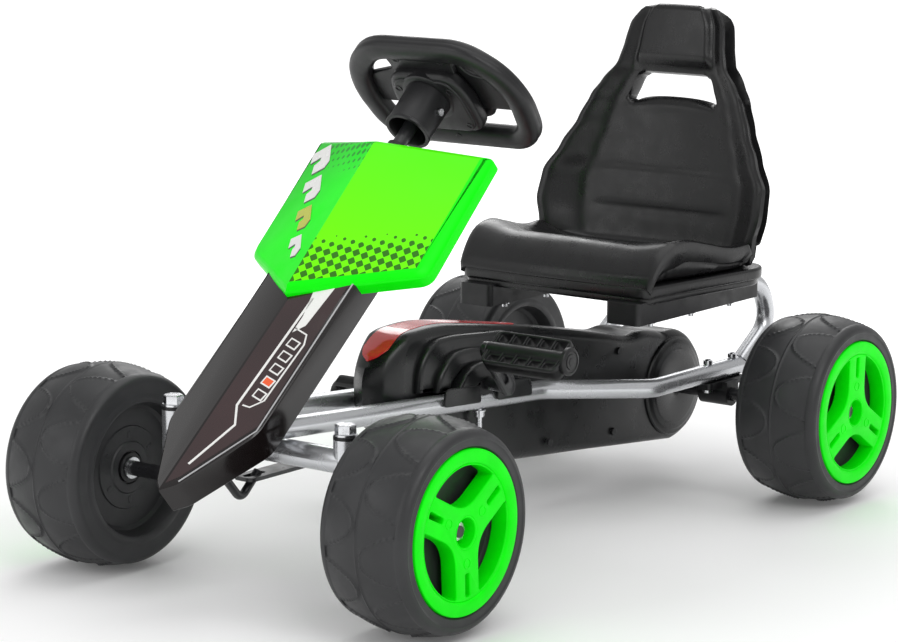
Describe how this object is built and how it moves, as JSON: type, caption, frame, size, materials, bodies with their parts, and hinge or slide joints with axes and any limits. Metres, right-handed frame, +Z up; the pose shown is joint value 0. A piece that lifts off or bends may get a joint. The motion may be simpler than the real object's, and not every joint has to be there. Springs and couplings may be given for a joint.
{
  "type": "pedal go kart",
  "caption": "Pedal go kart with a bent-tube frame, bucket seat, chain drive in a closed case, linked front steering and spoked hubcaps.",
  "frame": {"origin": "on the floor under the middle of the overall length and width", "axes": "+X forward, along the length; +Y the driver's left; +Z up"},
  "size_m": [0.9905, 0.582, 0.5672],
  "materials": {
    "frame_silver": "satin silver powder coat",
    "black_steel": "satin black paint",
    "zinc": "bright zinc plating",
    "black_plastic": "matt moulded plastic",
    "case_plastic": "satin black moulded plastic with a red glossy sticker",
    "wheel_plastic": "charcoal satin moulded plastic",
    "hubcap_green": "bright green moulded plastic",
    "shield_green": null,
    "nose_black": "gloss black moulded plastic with dark maroon panels",
    "seat_plastic": "black blow-moulded plastic",
    "steering_plastic": "satin black moulded plastic"
  },
  "bodies": {
    "frame": {"bearing_bolts": "zinc", "case_screws": "black_plastic", "chain": "black_steel", "chain_case_left": "case_plastic", "chain_case_right": "case_plastic", "crank_bearings": "black_plastic", "front_bracket": "black_steel", "front_cross_member": "frame_silver", "kingpin_tubes": "frame_silver", "nose_fairing": "nose_black", "nose_shield": "shield_green", "rear_bearings": "black_plastic", "seat": "seat_plastic", "seat_blocks": "black_plastic", "seat_bolts": "zinc", "seat_leg_left": "frame_silver", "seat_leg_right": "frame_silver", "side_rail_left": "frame_silver", "side_rail_right": "frame_silver", "sprocket_cover": "case_plastic", "steering_bushes": "black_plastic", "steering_post": "black_steel", "tube_plugs": "black_plastic"},
    "steering": {"steering_column": "black_steel", "steering_collar": "steering_plastic", "collar_screw": "zinc", "wheel_lower_shell": "steering_plastic", "wheel_upper_shell": "steering_plastic"},
    "knuckle_left": {"knuckle_left": "black_steel", "kingpin_bolt_left": "zinc", "knuckle_nuts_left": "zinc"},
    "knuckle_right": {"knuckle_right": "black_steel", "kingpin_bolt_right": "zinc", "knuckle_nuts_right": "zinc"},
    "tie_bar": {"tie_bar": "black_steel"},
    "front_wheel_left": {"front_wheel_shell_left": "wheel_plastic", "front_hubcap_left": "hubcap_green", "front_wheel_bush_left": "black_plastic"},
    "front_wheel_right": {"front_wheel_shell_right": "wheel_plastic", "front_hubcap_right": "hubcap_green", "front_wheel_bush_right": "black_plastic"},
    "rear_axle": {"rear_axle": "black_steel", "rear_sprocket": "black_steel", "drive_pin": "zinc", "rear_hub_nuts": "zinc", "rear_wheel_shell_left": "wheel_plastic", "rear_hubcap_left": "hubcap_green", "rear_wheel_bush_left": "black_plastic"},
    "rear_wheel_right": {"rear_wheel_shell_right": "wheel_plastic", "rear_hubcap_right": "hubcap_green", "rear_wheel_bush_right": "black_plastic"},
    "crank": {"crank_axle": "black_steel", "chainring": "black_steel", "crank_arm_left": "black_steel", "crank_arm_right": "black_steel"},
    "pedal_left": {"pedal_left": "black_plastic", "pedal_cap_left": "black_plastic"},
    "pedal_right": {"pedal_right": "black_plastic", "pedal_cap_right": "black_plastic"}
  },
  "joints": [
    {"name": "steering_turn", "type": "hinge", "parent": "frame", "child": "steering", "pos_m": [0.0785, 0, 0.482], "axis": [-0.7431, 0, 0.6691], "range_deg": [-30, 30]},
    {"name": "knuckle_left_turn", "type": "hinge", "parent": "frame", "child": "knuckle_left", "pos_m": [0.351, 0.1156, 0.155], "axis": [0, 0, 1], "range_deg": [-30, 30]},
    {"name": "knuckle_right_turn", "type": "hinge", "parent": "frame", "child": "knuckle_right", "pos_m": [0.351, -0.1156, 0.155], "axis": [0, 0, 1], "range_deg": [-30, 30]},
    {"name": "tie_bar_pivot", "type": "hinge", "parent": "knuckle_left", "child": "tie_bar", "pos_m": [0.274, 0.1156, 0.1285], "axis": [0, 0, 1], "range_deg": [-30, 30]},
    {"name": "front_wheel_left_spin", "type": "hinge", "parent": "knuckle_left", "child": "front_wheel_left", "pos_m": [0.351, 0.215, 0.11], "axis": [0, 1, 0], "continuous": true},
    {"name": "front_wheel_right_spin", "type": "hinge", "parent": "knuckle_right", "child": "front_wheel_right", "pos_m": [0.351, -0.215, 0.11], "axis": [0, 1, 0], "continuous": true},
    {"name": "rear_axle_spin", "type": "hinge", "parent": "frame", "child": "rear_axle", "pos_m": [-0.367, 0, 0.11], "axis": [0, 1, 0], "continuous": true},
    {"name": "rear_wheel_right_spin", "type": "hinge", "parent": "rear_axle", "child": "rear_wheel_right", "pos_m": [-0.367, -0.238, 0.11], "axis": [0, 1, 0], "continuous": true},
    {"name": "crank_spin", "type": "hinge", "parent": "frame", "child": "crank", "pos_m": [0.03, 0, 0.1785], "axis": [0, 1, 0], "continuous": true},
    {"name": "pedal_left_spin", "type": "hinge", "parent": "crank", "child": "pedal_left", "pos_m": [0.06776, 0.135, 0.22513], "axis": [0, 1, 0], "continuous": true},
    {"name": "pedal_right_spin", "type": "hinge", "parent": "crank", "child": "pedal_right", "pos_m": [-0.00776, -0.135, 0.13187], "axis": [0, 1, 0], "continuous": true}
  ],
  "couplings": [
    {"joint": "knuckle_left_turn", "follows": "steering_turn", "ratio": 1},
    {"joint": "knuckle_right_turn", "follows": "steering_turn", "ratio": 1},
    {"joint": "tie_bar_pivot", "follows": "steering_turn", "ratio": -1},
    {"joint": "crank_spin", "follows": "rear_axle_spin", "ratio": 0.625}
  ]
}
